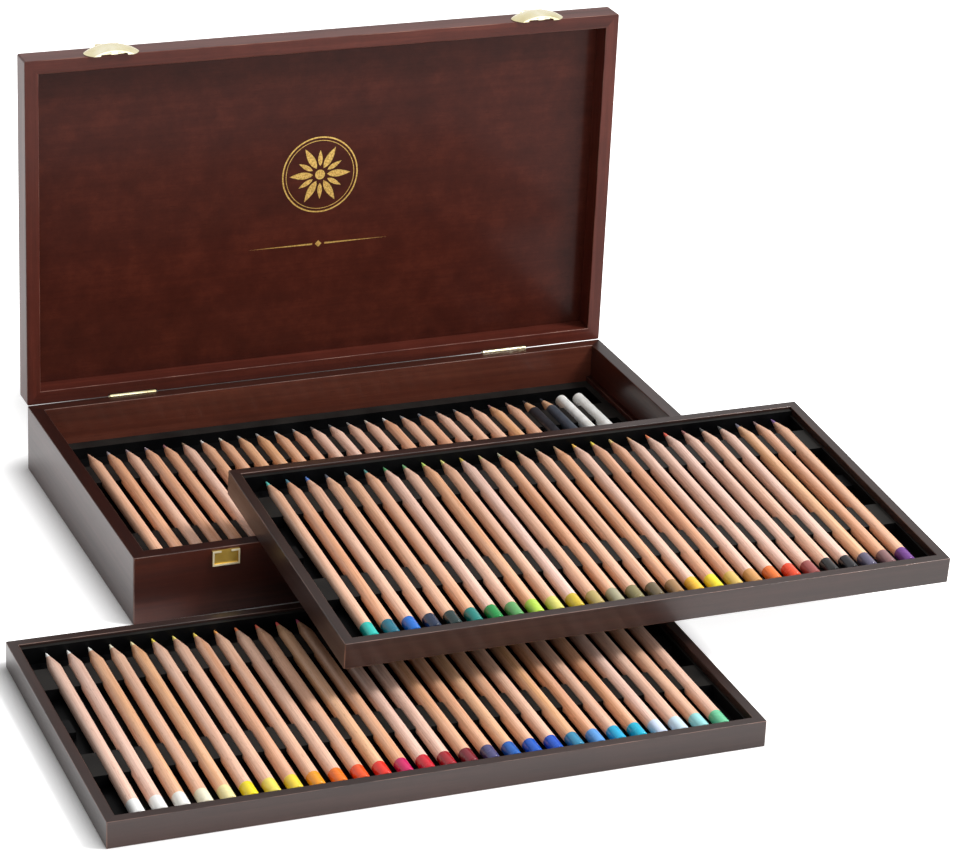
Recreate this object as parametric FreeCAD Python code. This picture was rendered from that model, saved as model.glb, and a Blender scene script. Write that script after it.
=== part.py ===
import FreeCAD, Part
import math
import os

# A hinged wooden pencil box, shown open, with two lift-out trays standing in front of it.
# Millimetres. X runs to the right, Y to the back and Z up, from the centre of the box's underside.

Vector = FreeCAD.Vector
Rotation = FreeCAD.Rotation
Placement = FreeCAD.Placement
right_way = Vector(1, 0, 0)
back_way = Vector(0, 1, 0)
up_way = Vector(0, 0, 1)

# Wooden base and lid
box_width = 385.0
base_height = 42.0
lid_height = 16.5
case_wall = 8.5
case_rebate = 4.0
base_board = 4.0
lid_panel = 3.0
case_corner_radius = 1.2
case_arris = 0.5

# Wooden trays, which drop into the base
tray_clearance = 0.4
tray_height = 15.6
tray_wall = 6.0
tray_rebate = 3.0
tray_board = 3.0
tray_corner_radius = 0.8
tray_arris = 0.45

# Places of the two trays that were taken out
front_tray_left = 84.8
front_tray_gap = 26.5
front_tray_turn_degrees = -0.94
middle_tray_inset = 73.0
middle_tray_overhang = 144.6
middle_tray_turn_degrees = -0.56
middle_tray_pitch_degrees = 3.41
tray_rest_gap = 0.12

# Coloured pencils
pencil_pitch = 12.1
pencil_radius = 3.9
pencil_length = 184.35
pencil_cone_length = 19.0
pencil_tip_radius = 0.3
core_radius = 1.5
cap_length = 12.4
cap_skin = 0.15
cap_end = 0.6
cap_bevel = 0.5
glue_gap = 0.02

# What the base row holds in place of coloured pencils
graphite_count = 2
stick_count = 2
stick_shortfall = 6.0
stick_bevel = 0.3

# Formed inserts that the pencils lie in
insert_clearance = 0.2
insert_skin = 1.2
notch_clearance = 0.3
rib_width = 24.0
back_rib_from_tip = 31.75
rib_spacing = 97.0
rib_rise = 1.2
butt_gap = 3.9
tip_gap = 3.45
row_side_room = 14.0
tray_insert_deck = 1.0
tray_axis_height = 10.0
tray_back_height = 14.1
tray_back_strip = 2.9
tray_side_strip = 1.2
base_insert_deck = 6.0
base_axis_height = 16.0
base_back_strip = 9.0
base_side_strip = 7.3
base_row_shift = 2.2
end_pad_length = 14.0
end_pad_rise = 4.0
end_pad_gap = 2.4

# Ledges along the base's sides, over the insert, that the trays stand on
ledge_top = 20.5
ledge_width = 3.0

# Butt hinges, let in flush on the outside
hinge_from_side = 67.5
hinge_length = 29.5
hinge_leaf_width = 6.3
hinge_leaf_thickness = 0.8
hinge_barrel_radius = 1.5
hinge_pin_radius = 0.7
hinge_pin_clearance = 0.05
hinge_knuckle_count = 5
hinge_knuckle_gap = 0.2
hinge_recess_clearance = 0.3
hinge_head_radius = 1.1
hinge_head_height = 0.7
hinge_screw_reach = 4.3
hinge_screw_spread = 8.2

# Small countersunk screws
screw_head_radius = 1.4
screw_shank_radius = 0.7
screw_length = 6.0
screw_hole_clearance = 0.05
slot_width = 0.4
slot_depth = 0.3

# Domed latches on the lid and their catch plates on the base
latch_from_side = 54.5
latch_half_width = 17.0
latch_rise = 5.0
latch_bow_radius = 14.0
latch_crest_back = 7.0
latch_skin = 0.8
latch_overhang = 2.5
latch_float = 0.3
latch_pin_radius = 0.6
latch_pin_height = 1.3
latch_pin_inset = 0.7
latch_pin_clearance = 0.05
latch_knuckle_radius = 1.2
latch_knuckle_half = 4.0
latch_ear_gap = 0.2
latch_ear_length = 3.0
latch_clearance = 0.2
latch_mouth_half = 8.35
latch_tongue_half = 2.0
latch_tongue_lift = 1.0
latch_plate_thickness = 0.8
latch_plate_front = 1.0
latch_plate_back = 9.7
latch_screw_spread = 4.0
latch_screw_back = 5.6
catch_width = 16.3
catch_height = 9.3
catch_drop = 1.8
catch_back_thickness = 0.6
catch_proud = 1.6
catch_border = 1.0
catch_notch_width = 6.0
catch_prong_radius = 0.6
catch_prong_length = 4.0
catch_prong_spread = 5.0

# One overrun serves every cut that has to pass a surface
overrun = 1.0

# Sizes that follow from those above
tray_width = box_width - 2 * (case_wall + tray_clearance)
tray_depth = butt_gap + pencil_length + tip_gap + 2 * tray_wall
box_depth = tray_depth + 2 * (case_wall + tray_clearance)
row_room = tray_width - 2 * (tray_wall + row_side_room)
pencil_count = int(row_room / pencil_pitch) + 1
hinge_offset = box_width / 2 - hinge_from_side
latch_offset = box_width / 2 - latch_from_side
hinge_axis = Vector(0, box_depth / 2, base_height)
pieces = {}


def block(low, high):
    """A box between two corners."""
    size = high - low
    return Part.makeBox(size.x, size.y, size.z, low)


def bar(radius, start, end):
    """A round bar between two points."""
    way = end - start
    return Part.makeCylinder(radius, way.Length, start, way)


def moved(shape, place):
    """A copy of a shape at a place."""
    copy = shape.copy()
    copy.Placement = place.multiply(copy.Placement)
    return copy


def shifted(shape, way):
    """A copy of a shape moved without a turn."""
    return moved(shape, Placement(way, Rotation()))


def turned(profile):
    """A solid turned about Y, from points of radius and place along Y."""
    points = [Vector(radius, along, 0) for radius, along in profile]
    face = Part.Face(Part.makePolygon(points + points[:1]))
    return face.revolve(Vector(), back_way, 360)


def prism(corners, height):
    """An upright solid over a flat outline."""
    points = [Vector(x, y, 0) for x, y in corners]
    face = Part.Face(Part.makePolygon(points + points[:1]))
    return face.extrude(up_way * height)


# Wooden cases


def edges_at(shape, test):
    """The edges whose two end points both pass a test."""
    return [edge for edge in shape.Edges if all(test(vertex.Point) for vertex in edge.Vertexes)]


def case(width, depth, height, wall, board, rebate, corner_radius, arris):
    """Four mitred walls round a board, open at the top, from its front left corner."""
    tiny = arris / 10
    lap = wall - rebate
    ring = block(Vector(), Vector(width, depth, height))
    uprights = [edge for edge in ring.Edges if abs(edge.Vertexes[0].Z - edge.Vertexes[1].Z) > tiny]
    ring = ring.makeFillet(corner_radius, uprights)
    low_edges = edges_at(ring, lambda point: abs(point.z) < tiny)
    ring = ring.makeFillet(arris, low_edges + edges_at(ring, lambda point: abs(point.z - height) < tiny))
    ring = ring.cut(block(Vector(wall, wall, -overrun), Vector(width - wall, depth - wall, height + overrun)))
    floor = block(Vector(lap, lap, 0), Vector(width - lap, depth - lap, board))
    ring = ring.cut(floor)

    def inner_rim(point):
        inside = wall / 2 < point.x < width - wall / 2 and wall / 2 < point.y < depth - wall / 2
        return inside and abs(point.z - height) < tiny

    inside_edges = [
        edge
        for edge in edges_at(ring, inner_rim)
        if min(abs(edge.Vertexes[0].X - x) for x in (wall, width - wall)) < tiny
        or min(abs(edge.Vertexes[0].Y - y) for y in (wall, depth - wall)) < tiny
    ]
    ring = ring.makeFillet(arris, inside_edges)
    mitres = {
        "front_wall": [(0, 0), (width, 0), (width - wall, wall), (wall, wall)],
        "back_wall": [(0, depth), (wall, depth - wall), (width - wall, depth - wall), (width, depth)],
        "left_wall": [(0, 0), (wall, wall), (wall, depth - wall), (0, depth)],
        "right_wall": [(width, 0), (width, depth), (width - wall, depth - wall), (width - wall, wall)],
    }
    walls = {name: ring.common(prism(outline, height)) for name, outline in mitres.items()}
    return {**walls, "board": floor}


# Pencils


def cone_place(radius):
    """How far from the butt the sharpened cone has this radius."""
    taper = (pencil_radius - pencil_tip_radius) / pencil_cone_length
    return pencil_length - (radius - pencil_tip_radius) / taper


def barrel(covered):
    """Cedar barrel with its bore, turned down at the butt where a cap covers it."""
    bore = core_radius + glue_gap
    start = cap_end if covered else 0
    neck = pencil_radius - cap_skin - glue_gap
    shoulder = pencil_length - pencil_cone_length
    stepped = [(neck, start), (neck, cap_length), (pencil_radius, cap_length)]
    plain = [(pencil_radius, start)]
    outline = (stepped if covered else plain) + [(pencil_radius, shoulder)]
    return turned([(bore, start)] + outline + [(bore, cone_place(bore))])


def lead(covered):
    """Core of a pencil, with its sharpened point."""
    start = cap_end if covered else 0
    body = [(0, start), (core_radius, start), (core_radius, cone_place(core_radius))]
    return turned(body + [(pencil_tip_radius, pencil_length), (0, pencil_length)])


def cap():
    """Dipped lacquer cap over the butt."""
    inside = pencil_radius - cap_skin
    outside = [(0, 0), (pencil_radius - cap_bevel, 0), (pencil_radius, cap_bevel)]
    return turned(
        outside + [(pencil_radius, cap_length), (inside, cap_length), (inside, cap_end), (0, cap_end)]
    )


def stick():
    """Flat-ended blending stick of solid wax."""
    edge = pencil_radius - stick_bevel
    length = pencil_length - stick_shortfall
    half = [(0, 0), (edge, 0), (pencil_radius, stick_bevel)]
    far = [(pencil_radius, length - stick_bevel), (edge, length), (0, length)]
    return turned(half + far)


def row(shape, numbers, first, height):
    """Copies of a pencil piece at the numbered places of a row."""
    copies = [shifted(shape, first + right_way * (number * pencil_pitch)) for number in numbers]
    return Part.makeCompound([shifted(copy, up_way * height) for copy in copies])


def first_place(inner_width, wall):
    """Where the first pencil of a centred row has its butt, from the case's front left corner."""
    row_length = (pencil_count - 1) * pencil_pitch
    return Vector(wall + (inner_width - row_length) / 2, wall + butt_gap, 0)


# Inserts


def rib_profile(width, low, axis_height, centres):
    """Outline of a rib with a round-bottomed notch for each pencil."""
    notch = pencil_radius + notch_clearance
    top = axis_height + rib_rise
    edges = []
    here = Vector(0, 0, low)

    def line_to(point):
        edges.append(Part.makeLine(here, point))
        return point

    here = line_to(Vector(0, 0, top))
    for centre in centres:
        here = line_to(Vector(centre - notch, 0, top))
        here = line_to(Vector(centre - notch, 0, axis_height))
        far = Vector(centre + notch, 0, axis_height)
        edges.append(Part.Arc(here, Vector(centre, 0, axis_height - notch), far).toShape())
        here = far
        here = line_to(Vector(centre + notch, 0, top))
    here = line_to(Vector(width, 0, top))
    here = line_to(Vector(width, 0, low))
    line_to(Vector(0, 0, low))
    return Part.Face(Part.Wire(edges))


def insert(case_size, wall, foot, deck, axis_height, back_height, back_strip, side_strip, row_shift):
    """Formed insert of one case: a deck in a rim as high as its two notched ribs, and low pads between."""
    width = case_size.x - 2 * (wall + insert_clearance)
    depth = case_size.y - 2 * (wall + insert_clearance)
    corner = wall + insert_clearance
    floor_top = foot + deck
    rib_top = axis_height + rib_rise
    shell = block(Vector(0, 0, foot), Vector(width, depth, rib_top))
    well_high = Vector(width - side_strip, depth - back_strip, rib_top + overrun)
    shell = shell.cut(block(Vector(side_strip, insert_skin, floor_top), well_high))
    if back_height > rib_top:
        back_low = Vector(0, depth - back_strip, floor_top)
        shell = shell.fuse(block(back_low, Vector(width, depth, back_height)))
    if deck > 2 * insert_skin:
        hollow_high = Vector(width - insert_skin, depth - insert_skin, floor_top - insert_skin)
        shell = shell.cut(block(Vector(insert_skin, insert_skin, foot - overrun), hollow_high))
    butt = first_place(case_size.x - 2 * wall, wall)
    first = butt.x - corner + row_shift
    centres = [first + number * pencil_pitch for number in range(pencil_count)]
    profile = rib_profile(width, floor_top, axis_height, centres)
    tips = butt.y - corner + pencil_length
    middles = [tips - back_rib_from_tip, tips - back_rib_from_tip - rib_spacing]
    rib = shifted(profile.extrude(back_way * rib_width), back_way * (-rib_width / 2))
    added = [shifted(rib, back_way * middle) for middle in middles]
    pad_front = (middles[0] + middles[1] - end_pad_length) / 2
    row_half = pencil_radius + notch_clearance + end_pad_gap
    for left, right in ((0, centres[0] - row_half), (centres[-1] + row_half, width)):
        high = Vector(right, pad_front + end_pad_length, floor_top + end_pad_rise)
        added.append(block(Vector(left, pad_front, floor_top), high))
    return shifted(shell.multiFuse(added).removeSplitter(), Vector(corner, corner, 0))


def ledge(left, right):
    """Wooden strip along one side of the base, between two places along X, its top edges eased."""
    low = Vector(left, case_wall, base_axis_height + rib_rise)
    high = Vector(right, box_depth - case_wall, ledge_top)
    strip = block(low, high)
    tiny = case_arris / 10
    top_edges = edges_at(strip, lambda point: abs(point.z - ledge_top) < tiny)
    long_edges = [edge for edge in top_edges if abs(edge.Vertexes[0].Y - edge.Vertexes[1].Y) > tiny]
    return strip.makeFillet(case_arris, long_edges)


# Metalwork


def countersunk_screw():
    """Slotted screw, its head flush with the origin, pointing down."""
    taper = Part.makeCone(screw_shank_radius, screw_head_radius, hinge_leaf_thickness)
    head = shifted(taper, up_way * -hinge_leaf_thickness)
    shank = bar(screw_shank_radius, Vector(), up_way * -screw_length)
    slot_low = Vector(-screw_head_radius - overrun, -slot_width / 2, -slot_depth)
    slot_high = Vector(screw_head_radius + overrun, slot_width / 2, overrun)
    return head.fuse(shank).cut(block(slot_low, slot_high)).removeSplitter()


def screw_hole():
    """Room for the screw's shank in wood, from the surface down."""
    deep = screw_length + screw_hole_clearance
    return bar(screw_shank_radius + screw_hole_clearance, up_way * overrun, up_way * -deep)


def screw_sink():
    """Room for the screw's head in a leaf."""
    narrow = screw_shank_radius + screw_hole_clearance
    wide = screw_head_radius + screw_hole_clearance
    cone = shifted(Part.makeCone(narrow, wide, hinge_leaf_thickness), up_way * -hinge_leaf_thickness)
    return cone.fuse(screw_hole())


def hinge_segments(numbers, extra):
    """Start and end along X of the numbered knuckles, each longer by extra at both ends."""
    length = (hinge_length + hinge_knuckle_gap) / hinge_knuckle_count - hinge_knuckle_gap
    starts = [number * (length + hinge_knuckle_gap) - hinge_length / 2 for number in numbers]
    return [(start - extra, start + length + extra) for start in starts]


def knuckles(radius, spans):
    """Round bars about the hinge axis over the given stretches."""
    return [bar(radius, right_way * start, right_way * end) for start, end in spans]


def hinge_leaf(low, high, own, others, screw_turn):
    """One leaf with its knuckles, about a hinge axis along X through the origin."""
    plate = block(low, high)
    cleared = hinge_barrel_radius + hinge_knuckle_gap
    plate = plate.cut(Part.makeCompound(knuckles(cleared, hinge_segments(others, hinge_knuckle_gap))))
    leaf = plate.multiFuse(knuckles(hinge_barrel_radius, hinge_segments(own, 0)))
    reach = hinge_length / 2 + overrun
    bore = bar(hinge_pin_radius + hinge_pin_clearance, right_way * -reach, right_way * reach)
    leaf = leaf.cut(bore)
    for place in screw_turn:
        leaf = leaf.cut(moved(screw_sink(), place))
    return leaf


def hinge_pin():
    """Pin with a rounded head at each end."""
    half = hinge_length / 2 + hinge_pin_clearance
    pin = bar(hinge_pin_radius, right_way * -half, right_way * half)
    ball_radius = (hinge_head_radius ** 2 + hinge_head_height ** 2) / (2 * hinge_head_height)
    heads = []
    for side in (-1, 1):
        ball = Part.makeSphere(ball_radius, right_way * (side * (half + hinge_head_height - ball_radius)))
        start = right_way * (side * half)
        end = right_way * (side * (half + hinge_head_height + overrun))
        heads.append(ball.common(bar(hinge_head_radius + overrun, start, end)))
    return pin.multiFuse(heads)


def hinge_recess():
    """Room in the wood round the barrel and the pin's heads."""
    reach = hinge_length / 2 + hinge_head_height + hinge_recess_clearance
    radius = hinge_barrel_radius + hinge_recess_clearance
    return bar(radius, right_way * -reach, right_way * reach)


def base_screw_places():
    """Where the screws of a base leaf stand, about the hinge axis."""
    spots = [Vector(side * hinge_screw_spread, 0, -hinge_screw_reach) for side in (-1, 1)]
    return [Placement(spot, Rotation(right_way, -90)) for spot in spots]


def lid_screw_places():
    """Where the screws of a lid leaf stand, about the hinge axis."""
    spots = [Vector(side * hinge_screw_spread, hinge_screw_reach, 0) for side in (-1, 1)]
    return [Placement(spot, Rotation(right_way, 180)) for spot in spots]


def latch_form(skin_in):
    """Solid whose top gives the dome, smaller by skin_in: an arc along X turned about a line along X."""
    crest = Vector(0, latch_crest_back - latch_overhang, latch_float + latch_rise)
    arc_radius = (latch_half_width ** 2 + latch_rise ** 2) / (2 * latch_rise)
    lower = arc_radius - latch_bow_radius
    reach = math.sqrt((arc_radius - skin_in) ** 2 - lower ** 2)
    middle = crest - up_way * latch_bow_radius
    ends = [middle + right_way * reach, middle - right_way * reach]
    arc = Part.Arc(ends[0], crest - up_way * skin_in, ends[1]).toShape()
    face = Part.Face(Part.Wire([arc, Part.makeLine(ends[1], ends[0])]))
    return face.revolve(middle, right_way, 360)


def latch_bar(radius, start, end):
    """Round bar on the latch's pivot between two places along X."""
    pivot = latch_pivot()
    return bar(radius, pivot + right_way * start, pivot + right_way * end)


def latch_pivot():
    """Pivot of a latch, from the place where the lid's rim meets its front face."""
    half_depth = math.sqrt(2 * latch_bow_radius * latch_rise - latch_rise ** 2)
    return Vector(0, latch_crest_back - latch_overhang + half_depth - latch_pin_inset, latch_pin_height)


def ear_spans(extra):
    """Start and end along X of the two ears, each longer by extra at both ends."""
    near = latch_knuckle_half + latch_ear_gap
    far = near + latch_ear_length
    return [(-far - extra, -near + extra), (near - extra, far + extra)]


def latch_flap():
    """Domed shell, open at the rim, with two feet, a tongue and a knuckle."""
    reach = latch_half_width + overrun
    room = block(
        Vector(-reach, -latch_overhang, latch_float),
        Vector(reach, reach, latch_float + latch_rise + overrun),
    )
    dome = latch_form(0).cut(latch_form(latch_skin)).common(room)
    inside = latch_form(latch_skin / 2).common(room)
    front_high = Vector(reach, latch_skin - latch_overhang, latch_float + latch_rise)
    front = inside.common(block(Vector(-reach, -latch_overhang, latch_float), front_high))
    mouth_low = Vector(-latch_mouth_half, -latch_overhang - overrun, 0)
    mouth_high = Vector(latch_mouth_half, latch_skin - latch_overhang + overrun, latch_rise + overrun)
    feet = front.cut(block(mouth_low, mouth_high))
    tongue_low = Vector(-latch_tongue_half, -latch_overhang, latch_tongue_lift)
    tongue_high = Vector(latch_tongue_half, latch_skin - latch_overhang, latch_float + latch_rise)
    tongue = front.common(block(tongue_low, tongue_high))
    knuckle = latch_bar(latch_knuckle_radius, -latch_knuckle_half, latch_knuckle_half)
    flap = dome.multiFuse([feet, tongue, knuckle])
    for start, end in ear_spans(latch_clearance):
        flap = flap.cut(latch_bar(latch_knuckle_radius + latch_clearance, start, end))
        low = Vector(start, latch_plate_back - latch_clearance, 0)
        flap = flap.cut(block(low, Vector(end, reach, latch_plate_thickness + latch_clearance)))
    far = latch_pivot().y + latch_knuckle_radius
    flap = flap.cut(latch_bar(latch_pin_radius + latch_pin_clearance, -far, far))
    return max(flap.Solids, key=lambda solid: solid.Volume)


def latch_screw_places():
    """Where the screws of a latch plate stand, from the rim's middle."""
    spots = [Vector(side * latch_screw_spread, latch_screw_back, latch_plate_thickness) for side in (-1, 1)]
    return [Placement(spot, Rotation()) for spot in spots]


def latch_plate():
    """Plate screwed to the lid under the dome, with an ear at each side of the knuckle."""
    half = latch_knuckle_half + latch_ear_gap + latch_ear_length
    low = Vector(-half, latch_plate_front, 0)
    plate = block(low, Vector(half, latch_plate_back, latch_plate_thickness))
    ears = []
    for start, end in ear_spans(0):
        ears.append(latch_bar(latch_knuckle_radius, start, end))
        link_high = Vector(end, latch_pivot().y, latch_plate_thickness)
        ears.append(block(Vector(start, latch_plate_back, 0), link_high))
    plate = plate.multiFuse(ears).cut(latch_bar(latch_pin_radius + glue_gap, -half, half))
    for place in latch_screw_places():
        plate = plate.cut(moved(screw_sink(), place))
    return plate


def catch_plate():
    """Bordered catch on the base's front, from the middle of its top edge, facing the front."""
    half = catch_width / 2
    plate = block(Vector(-half, -catch_proud, -catch_height), Vector(half, 0, 0))
    sunk_low = Vector(catch_border - half, -catch_proud - overrun, catch_border - catch_height)
    sunk_high = Vector(half - catch_border, -catch_back_thickness, -catch_border)
    notch_low = Vector(-catch_notch_width / 2, -catch_proud - overrun, -catch_height / 2)
    notch_high = Vector(catch_notch_width / 2, -catch_back_thickness, overrun)
    plate = plate.cut(block(sunk_low, sunk_high)).cut(block(notch_low, notch_high))
    return plate.multiFuse(catch_prongs(0)).removeSplitter()


def catch_prongs(extra):
    """The catch's two prongs, or with extra their holes in the wall."""
    prongs = []
    for side in (-1, 1):
        start = Vector(side * catch_prong_spread, 0, -catch_height / 2)
        end = start + back_way * (catch_prong_length + extra)
        prongs.append(bar(catch_prong_radius + extra, start, end))
    return prongs


# Base


def place_all(prefix, shapes, place):
    """Put a group of shapes at one place, each under its own name."""
    for name, shape in shapes.items():
        pieces[prefix + name] = moved(shape, place)


corner_place = Placement(Vector(-box_width / 2, -box_depth / 2, 0), Rotation())
base = case(
    box_width, box_depth, base_height, case_wall, base_board, case_rebate, case_corner_radius, case_arris
)
base["bottom_board"] = base.pop("board")
base["insert"] = insert(
    Vector(box_width, box_depth),
    case_wall,
    base_board,
    base_insert_deck,
    base_axis_height,
    0,
    base_back_strip,
    base_side_strip,
    base_row_shift,
)
base["left_ledge"] = ledge(case_wall, case_wall + ledge_width)
base["right_ledge"] = ledge(box_width - case_wall - ledge_width, box_width - case_wall)
base_first = first_place(box_width - 2 * case_wall, case_wall) + right_way * base_row_shift
coloured_count = pencil_count - graphite_count - stick_count
coloured = range(coloured_count)
graphite = range(coloured_count, coloured_count + graphite_count)
sticks = range(coloured_count + graphite_count, pencil_count)
base["pencil_barrels"] = row(barrel(True), coloured, base_first, base_axis_height)
base["pencil_leads"] = row(lead(True), coloured, base_first, base_axis_height)
base["pencil_caps"] = row(cap(), coloured, base_first, base_axis_height)
base["graphite_barrels"] = row(barrel(False), graphite, base_first, base_axis_height)
base["graphite_leads"] = row(lead(False), graphite, base_first, base_axis_height)
base["blender_sticks"] = row(stick(), sticks, base_first, base_axis_height)
place_all("base_", base, corner_place)

# Lid, standing open at a right angle on the base's back rim
lid = case(
    box_width, box_depth, lid_height, case_wall, lid_panel, case_rebate, case_corner_radius, case_arris
)
lid["hinge_wall"] = lid.pop("front_wall")
lid["latch_wall"] = lid.pop("back_wall")
lid["panel"] = lid.pop("board")
lid_corner = Vector(-box_width / 2, box_depth / 2 + lid_height, base_height)
place_all("lid_", lid, Placement(lid_corner, Rotation(right_way, 90)))

# Hinges
base_leaf_low = Vector(-hinge_length / 2, -hinge_leaf_thickness, -hinge_leaf_width)
base_leaf_high = Vector(hinge_length / 2, 0, 0)
lid_leaf_low = Vector(-hinge_length / 2, 0, 0)
lid_leaf_high = Vector(hinge_length / 2, hinge_leaf_width, hinge_leaf_thickness)
base_knuckles = range(0, hinge_knuckle_count, 2)
lid_knuckles = range(1, hinge_knuckle_count, 2)
base_leaf = hinge_leaf(base_leaf_low, base_leaf_high, base_knuckles, lid_knuckles, base_screw_places())
lid_leaf = hinge_leaf(lid_leaf_low, lid_leaf_high, lid_knuckles, base_knuckles, lid_screw_places())
base_screws = []
lid_screws = []
for name, side in (("left", -1), ("right", 1)):
    place = Placement(hinge_axis + right_way * (side * hinge_offset), Rotation())
    pieces[name + "_hinge_base_leaf"] = moved(base_leaf, place)
    pieces[name + "_hinge_lid_leaf"] = moved(lid_leaf, place)
    pieces[name + "_hinge_pin"] = moved(hinge_pin(), place)
    base_cuts = [hinge_recess(), block(base_leaf_low, base_leaf_high)]
    lid_cuts = [hinge_recess(), block(lid_leaf_low, lid_leaf_high)]
    base_cuts += [moved(screw_hole(), spot) for spot in base_screw_places()]
    lid_cuts += [moved(screw_hole(), spot) for spot in lid_screw_places()]
    base_screws += [moved(countersunk_screw(), place.multiply(spot)) for spot in base_screw_places()]
    lid_screws += [moved(countersunk_screw(), place.multiply(spot)) for spot in lid_screw_places()]
    for cutter in base_cuts:
        pieces["base_back_wall"] = pieces["base_back_wall"].cut(moved(cutter, place))
    for cutter in lid_cuts:
        pieces["lid_hinge_wall"] = pieces["lid_hinge_wall"].cut(moved(cutter, place))
pieces["base_hinge_screws"] = Part.makeCompound(base_screws)
pieces["lid_hinge_screws"] = Part.makeCompound(lid_screws)

# Latches and catches
latch_screws = []
for name, side in (("left", -1), ("right", 1)):
    place = Placement(hinge_axis + Vector(side * latch_offset, 0, box_depth), Rotation())
    pieces[name + "_latch_flap"] = moved(latch_flap(), place)
    pieces[name + "_latch_plate"] = moved(latch_plate(), place)
    ear_end = ear_spans(0)[1][1]
    pieces[name + "_latch_pin"] = moved(latch_bar(latch_pin_radius, -ear_end, ear_end), place)
    for spot in latch_screw_places():
        latch_screws.append(moved(countersunk_screw(), place.multiply(spot)))
        hole = moved(screw_hole(), place.multiply(spot))
        pieces["lid_latch_wall"] = pieces["lid_latch_wall"].cut(hole)
    top = Vector(side * latch_offset, -box_depth / 2, base_height - catch_drop)
    pieces[name + "_catch_plate"] = shifted(catch_plate(), top)
    for hole in catch_prongs(screw_hole_clearance):
        pieces["base_front_wall"] = pieces["base_front_wall"].cut(shifted(hole, top))
pieces["latch_plate_screws"] = Part.makeCompound(latch_screws)


# Trays


def tray():
    """One tray with its insert and a full row of coloured pencils, from its front left corner."""
    shapes = case(
        tray_width, tray_depth, tray_height, tray_wall, tray_board, tray_rebate, tray_corner_radius, tray_arris
    )
    shapes["bottom_board"] = shapes.pop("board")
    shapes["insert"] = insert(
        Vector(tray_width, tray_depth),
        tray_wall,
        tray_board,
        tray_insert_deck,
        tray_axis_height,
        tray_back_height,
        tray_back_strip,
        tray_side_strip,
        0,
    )
    first = first_place(tray_width - 2 * tray_wall, tray_wall)
    shapes["pencil_barrels"] = row(barrel(True), range(pencil_count), first, tray_axis_height)
    shapes["pencil_leads"] = row(lead(True), range(pencil_count), first, tray_axis_height)
    shapes["pencil_caps"] = row(cap(), range(pencil_count), first, tray_axis_height)
    return shapes


front_tray_corner = Vector(
    -box_width / 2 - front_tray_left, -box_depth / 2 - front_tray_gap - tray_depth, 0
)
front_tray_turn = Rotation(up_way, front_tray_turn_degrees)
place_all("front_tray_", tray(), Placement(front_tray_corner, front_tray_turn))

pitch = math.radians(middle_tray_pitch_degrees)
middle_tray_corner = Vector(
    middle_tray_inset - box_width / 2,
    -box_depth / 2 - middle_tray_overhang * math.cos(pitch),
    base_height + tray_rest_gap - middle_tray_overhang * math.sin(pitch),
)
middle_tray_turn = Rotation(right_way, middle_tray_pitch_degrees).multiply(
    Rotation(up_way, middle_tray_turn_degrees)
)
place_all("middle_tray_", tray(), Placement(middle_tray_corner, middle_tray_turn))

for name, shape in sorted(pieces.items()):
    shape.exportStep("parts/" + name + ".step")
    size = shape.BoundBox
    print(
        name,
        len(shape.Solids),
        "valid" if shape.isValid() else "NOT VALID",
        round(shape.Volume, 1),
        [round(value, 1) for value in (size.XMin, size.YMin, size.ZMin, size.XMax, size.YMax, size.ZMax)],
    )
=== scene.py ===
# %% [markdown]
# # A wooden pencil box with two lift-out trays
# The box stands open. Its base holds a row of pencils, one tray lies across the base's front rim, and a
# second tray stands on the table. The CAD model is the fixed frame: every wall, board, hinge and latch is
# already in place in metres, with X to the right, Y to the back and Z up. We give those pieces their
# finishes, and make anew what CAD leaves plain, above all the pencils.

# %% Load the frame
import math
import bmesh
import bpy
from mathutils import Euler, Matrix, Vector


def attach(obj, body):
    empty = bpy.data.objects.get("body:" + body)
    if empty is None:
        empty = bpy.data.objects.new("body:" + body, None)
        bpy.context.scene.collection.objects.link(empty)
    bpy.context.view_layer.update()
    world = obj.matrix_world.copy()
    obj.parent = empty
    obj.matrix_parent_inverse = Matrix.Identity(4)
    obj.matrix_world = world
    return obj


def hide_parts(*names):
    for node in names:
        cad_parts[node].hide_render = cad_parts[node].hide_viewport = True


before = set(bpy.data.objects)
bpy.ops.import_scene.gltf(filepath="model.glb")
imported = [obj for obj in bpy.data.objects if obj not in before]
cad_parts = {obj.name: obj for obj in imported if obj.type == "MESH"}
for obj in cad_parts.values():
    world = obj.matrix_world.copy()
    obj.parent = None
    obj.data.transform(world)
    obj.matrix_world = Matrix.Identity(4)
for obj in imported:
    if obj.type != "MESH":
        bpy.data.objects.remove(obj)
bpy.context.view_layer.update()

MM = 0.001

# %% [markdown]
# ## The camera
# The photograph was taken from the front left, about 24 degrees above the table, with a long lens, so the
# sides of the box stay nearly parallel. A camera's matrix can be written as three directions and a place:
# its right, its up, and its back, because a Blender camera looks along its own -Z. That is safer than
# typing three angles.

# %% Camera
VIEW_TURN = -0.40805
VIEW_RISE = 0.42059
VIEW_ROLL = 0.04919
VIEW_PLACE = Vector((-0.71833, -1.80970, 0.92067))
VIEW_LENS = 131.38

back = Vector((
    math.sin(VIEW_TURN) * math.cos(VIEW_RISE),
    -math.cos(VIEW_TURN) * math.cos(VIEW_RISE),
    math.sin(VIEW_RISE),
))
right = Vector((math.cos(VIEW_TURN), math.sin(VIEW_TURN), 0))
up = back.cross(right)
rolled_right = right * math.cos(VIEW_ROLL) + up * math.sin(VIEW_ROLL)
rolled_up = up * math.cos(VIEW_ROLL) - right * math.sin(VIEW_ROLL)

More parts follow.
